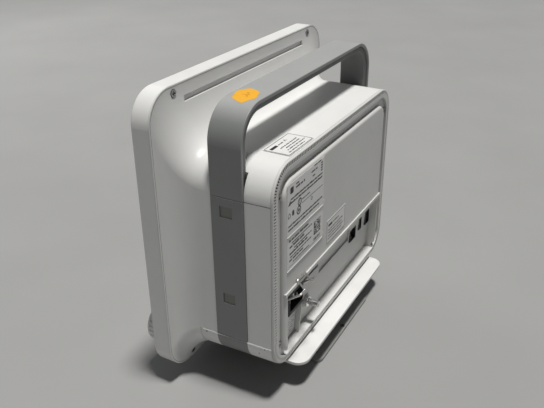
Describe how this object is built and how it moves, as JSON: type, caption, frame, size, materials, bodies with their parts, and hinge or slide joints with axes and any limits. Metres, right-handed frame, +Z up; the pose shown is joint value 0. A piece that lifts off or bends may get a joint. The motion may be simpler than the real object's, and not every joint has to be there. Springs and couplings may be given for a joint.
{
  "type": "patient monitor",
  "caption": "Bedside patient monitor with a carrying handle, a turn-and-push knob, front keys, a rear connector bay with a mains inlet and wire bail, and a mount plate.",
  "frame": {"origin": "middle of the footprint's bounding box, on the plane the mount plate stands on", "axes": "+Z up, -Y is the way the screen faces, +X is to the right of a person who looks at the screen"},
  "size_m": [0.3, 0.143, 0.273],
  "materials": {
    "white_plastic": "fine moulded texture",
    "base_plate": "satin paint",
    "grey_plastic": "fine moulded texture",
    "handle_core": "fine moulded texture",
    "window_pad": "satin",
    "touch_glass": "polished",
    "lcd_module": "satin",
    "sheet_steel": "zinc plated",
    "foam_seal": "foam",
    "alarm_lens": "frosted",
    "light_pipe": "clear",
    "circuit_board": "solder mask",
    "key_rubber": "satin",
    "knob_plastic": "fine moulded texture",
    "steel": "nickel plated",
    "encoder": "moulded",
    "screw_steel": "zinc plated",
    "black_plastic": "moulded",
    "heat_sink": "anodised",
    "label": "printed film",
    "panel_plastic": "moulded",
    "ecg_green": "moulded",
    "spo2_blue": "moulded",
    "temp_brown": "moulded",
    "ibp_red": "moulded",
    "cuff_grey": "moulded",
    "mount_plastic": "moulded",
    "mount_metal": "powder coat"
  },
  "bodies": {
    "monitor": {"ac_inlet": "black_plastic", "alarm_led_board": "circuit_board", "alarm_lens_front": "alarm_lens", "alarm_lens_rear": "alarm_lens", "band_window_pads": "window_pad", "base_plate": "base_plate", "base_spacers": "mount_plastic", "battery_pack": "black_plastic", "bezel_screws": "screw_steel", "bottom_band": "grey_plastic", "bottom_cover": "white_plastic", "bottom_screws": "screw_steel", "chassis_plate": "sheet_steel", "cuff_port": "cuff_grey", "cuff_pump": "black_plastic", "display_seal": "foam_seal", "ecg_socket": "ecg_green", "encoder_body": "encoder", "encoder_nut": "steel", "front_bezel": "white_plastic", "ground_stud": "steel", "handle_core": "handle_core", "handle_hoop": "grey_plastic", "handle_screws": "screw_steel", "heat_sink": "heat_sink", "ibp_socket": "ibp_red", "inlet_pins": "steel", "io_board": "circuit_board", "key_board": "circuit_board", "labels": "label", "lcd_bracket": "sheet_steel", "lcd_panel": "lcd_module", "main_board": "circuit_board", "mount_block": "mount_plastic", "mount_plate": "mount_metal", "network_jack": "black_plastic", "parameter_module": "black_plastic", "power_supply": "circuit_board", "rear_cover": "white_plastic", "rear_cover_screws": "screw_steel", "rear_housing": "white_plastic", "sensor_panel": "panel_plastic", "serial_jack": "black_plastic", "side_band": "grey_plastic", "speaker": "black_plastic", "spo2_socket": "spo2_blue", "status_lights": "light_pipe", "temp_socket": "temp_brown", "touch_glass": "touch_glass", "usb_jack": "black_plastic"},
    "encoder": {"encoder_rotor": "encoder"},
    "knob": {"trim_knob": "knob_plastic", "knob_shaft": "steel"},
    "bail": {"inlet_bail": "steel"},
    "silence_cap": {"key_silence": "key_rubber"},
    "pause_cap": {"key_pause": "key_rubber"},
    "freeze_cap": {"key_freeze": "key_rubber"},
    "pressure_cap": {"key_pressure": "key_rubber"},
    "menu_cap": {"key_menu": "key_rubber"},
    "standby_cap": {"standby_key": "key_rubber"}
  },
  "joints": [
    {"name": "knob_turn", "type": "hinge", "parent": "monitor", "child": "encoder", "pos_m": [0.119, -0.0469, 0.042], "axis": [0, 1, 0], "continuous": true},
    {"name": "knob_push", "type": "slide", "parent": "encoder", "child": "knob", "axis": [0, 1, 0], "range_m": [0, 0.0012], "stiffness_N_per_m": 1200},
    {"name": "bail_swing", "type": "hinge", "parent": "monitor", "child": "bail", "pos_m": [0.082, 0.0524, 0.09], "axis": [-1, 0, 0], "range_deg": [0, 110]},
    {"name": "key_silence_press", "type": "slide", "parent": "monitor", "child": "silence_cap", "axis": [0, 1, 0], "range_m": [0, 0.001], "stiffness_N_per_m": 500},
    {"name": "key_pause_press", "type": "slide", "parent": "monitor", "child": "pause_cap", "axis": [0, 1, 0], "range_m": [0, 0.001], "stiffness_N_per_m": 500},
    {"name": "key_freeze_press", "type": "slide", "parent": "monitor", "child": "freeze_cap", "axis": [0, 1, 0], "range_m": [0, 0.001], "stiffness_N_per_m": 500},
    {"name": "key_pressure_press", "type": "slide", "parent": "monitor", "child": "pressure_cap", "axis": [0, 1, 0], "range_m": [0, 0.001], "stiffness_N_per_m": 500},
    {"name": "key_menu_press", "type": "slide", "parent": "monitor", "child": "menu_cap", "axis": [0, 1, 0], "range_m": [0, 0.001], "stiffness_N_per_m": 500},
    {"name": "standby_press", "type": "slide", "parent": "monitor", "child": "standby_cap", "axis": [0, 1, 0], "range_m": [0, 0.001], "stiffness_N_per_m": 500}
  ]
}
